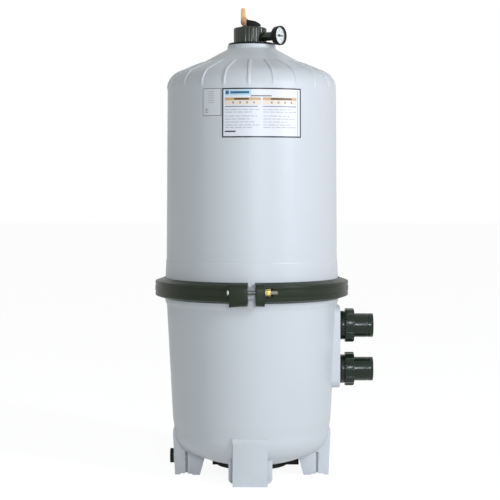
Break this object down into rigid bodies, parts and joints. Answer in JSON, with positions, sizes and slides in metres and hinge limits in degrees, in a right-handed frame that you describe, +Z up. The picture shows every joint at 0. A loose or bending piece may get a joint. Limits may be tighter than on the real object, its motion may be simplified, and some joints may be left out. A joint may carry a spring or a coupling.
{
  "type": "pool cartridge filter",
  "caption": "Free-standing cartridge filter: two-part tank with a band clamp, pleated cartridges inside, relief valve, gauge, drain plug and two union ports.",
  "frame": {"origin": "where the tank's axis meets the floor", "axes": "+Z up the tank's axis, +X out of the two ports, -Y towards the clamp's bolt and the labels"},
  "size_m": [0.675, 0.6305, 1.437],
  "materials": {
    "tank_resin": "moulded, light grey, satin gloss",
    "clamp_resin": "moulded, glass filled, black",
    "black_resin": "moulded, black",
    "union_resin": "moulded, black, glossy",
    "white_resin": "moulded, white",
    "cap_resin": "cast, blue",
    "filter_cloth": "spunbond, white, pleated",
    "rubber": "moulded, black",
    "steel": "plain",
    "brass": "machined",
    "lever_resin": "moulded, orange",
    "dial_enamel": "white enamel",
    "pointer_enamel": "black enamel",
    "lens": "clear",
    "label_film": "printed film"
  },
  "bodies": {
    "tank": {"air_strainer": "white_resin", "base_cradle": "black_resin", "bottom_manifold": "white_resin", "cartridge_1_caps": "cap_resin", "cartridge_1_core": "white_resin", "cartridge_1_media": "filter_cloth", "cartridge_2_caps": "cap_resin", "cartridge_2_core": "white_resin", "cartridge_2_media": "filter_cloth", "cartridge_3_caps": "cap_resin", "cartridge_3_core": "white_resin", "cartridge_3_media": "filter_cloth", "cartridge_4_caps": "cap_resin", "cartridge_4_core": "white_resin", "cartridge_4_media": "filter_cloth", "gauge_bezel": "black_resin", "gauge_case": "black_resin", "gauge_dial": "dial_enamel", "gauge_lens": "lens", "gauge_stem": "brass", "inlet_bulkhead": "black_resin", "inlet_diffuser": "white_resin", "inlet_gasket": "rubber", "inlet_locknut": "black_resin", "inlet_o_ring": "rubber", "label_main": "label_film", "label_side": "label_film", "lower_tank": "tank_resin", "neck_o_ring": "rubber", "outlet_bulkhead": "black_resin", "outlet_gasket": "rubber", "outlet_hood": "black_resin", "outlet_locknut": "black_resin", "outlet_o_ring": "rubber", "outlet_pipe": "white_resin", "plunger_spring": "steel", "relief_body": "black_resin", "tank_o_ring": "rubber", "tie_rod": "steel", "tie_rod_nut": "brass", "top_manifold": "white_resin", "upper_tank": "tank_resin"},
    "relief_stem": {"relief_plunger": "steel", "plunger_seal": "rubber"},
    "relief_lever": {"relief_lever": "lever_resin", "lever_pin": "steel"},
    "gauge_pointer": {"gauge_pointer": "pointer_enamel"},
    "clamp_left": {"clamp_half_left": "clamp_resin", "clamp_bolt": "steel", "clamp_hinge_pin": "steel"},
    "clamp_right": {"clamp_half_right": "clamp_resin"},
    "clamp_washer": {"clamp_washer": "steel"},
    "clamp_nut": {"clamp_nut": "brass"},
    "inlet_tail": {"inlet_tailpiece": "union_resin"},
    "inlet_nut": {"inlet_union_nut": "union_resin"},
    "outlet_tail": {"outlet_tailpiece": "union_resin"},
    "outlet_nut": {"outlet_union_nut": "union_resin"},
    "drain_seal": {"drain_gasket": "rubber"},
    "drain_plug": {"drain_plug": "black_resin"}
  },
  "joints": [
    {"name": "relief_plunger_drop", "type": "slide", "parent": "tank", "child": "relief_stem", "axis": [0, 0, -1], "range_m": [0, 0.003], "deforming": ["plunger_spring"]},
    {"name": "relief_lever_tilt", "type": "hinge", "parent": "relief_stem", "child": "relief_lever", "pos_m": [-0.0225, 0, 1.3966], "axis": [0, -1, 0], "range_deg": [0, 90]},
    {"name": "gauge_pointer_sweep", "type": "hinge", "parent": "tank", "child": "gauge_pointer", "pos_m": [0.08386, -0.06319, 1.3465], "axis": [0.7986, -0.6018, 0], "range_deg": [-45, 225]},
    {"name": "clamp_left_swing", "type": "hinge", "parent": "tank", "child": "clamp_left", "pos_m": [0, 0.309, 0.577], "axis": [0, 0, -1], "range_deg": [0, 0.76]},
    {"name": "clamp_right_swing", "type": "hinge", "parent": "tank", "child": "clamp_right", "pos_m": [0, 0.309, 0.577], "axis": [0, 0, 1], "range_deg": [0, 0.76]},
    {"name": "clamp_nut_travel", "type": "slide", "parent": "clamp_left", "child": "clamp_washer", "axis": [1, 0, 0], "range_m": [0, 0.016]},
    {"name": "clamp_nut_turn", "type": "hinge", "parent": "clamp_washer", "child": "clamp_nut", "pos_m": [0.048, -0.2995, 0.581], "axis": [1, 0, 0], "range_deg": [0, 3600]},
    {"name": "inlet_tail_draw", "type": "slide", "parent": "tank", "child": "inlet_tail", "axis": [1, 0, 0], "range_m": [0, 0.01505]},
    {"name": "inlet_nut_turn", "type": "hinge", "parent": "inlet_tail", "child": "inlet_nut", "pos_m": [0.303, 0, 0.458], "axis": [1, 0, 0], "range_deg": [0, 1080]},
    {"name": "outlet_tail_draw", "type": "slide", "parent": "tank", "child": "outlet_tail", "axis": [1, 0, 0], "range_m": [0, 0.01505]},
    {"name": "outlet_nut_turn", "type": "hinge", "parent": "outlet_tail", "child": "outlet_nut", "pos_m": [0.303, 0, 0.322], "axis": [1, 0, 0], "range_deg": [0, 1080]},
    {"name": "drain_seal_draw", "type": "slide", "parent": "tank", "child": "drain_seal", "axis": [-1, 0, 0], "range_m": [0, 0.01805]},
    {"name": "drain_plug_turn", "type": "hinge", "parent": "drain_seal", "child": "drain_plug", "pos_m": [-0.25, 0, 0.05], "axis": [-1, 0, 0], "range_deg": [0, 2160]}
  ],
  "couplings": [
    {"joint": "relief_lever_tilt", "follows": "relief_plunger_drop", "rad_per_m": 523.55},
    {"joint": "clamp_left_swing", "follows": "clamp_nut_travel", "rad_per_m": 0.82169},
    {"joint": "clamp_right_swing", "follows": "clamp_nut_travel", "rad_per_m": 0.82169},
    {"joint": "clamp_nut_turn", "follows": "clamp_nut_travel", "rad_per_m": 3926.6},
    {"joint": "inlet_tail_draw", "follows": "inlet_nut_turn", "m_per_rad": 0.00079577},
    {"joint": "outlet_tail_draw", "follows": "outlet_nut_turn", "m_per_rad": 0.00079577},
    {"joint": "drain_seal_draw", "follows": "drain_plug_turn", "m_per_rad": 0.00047746}
  ]
}
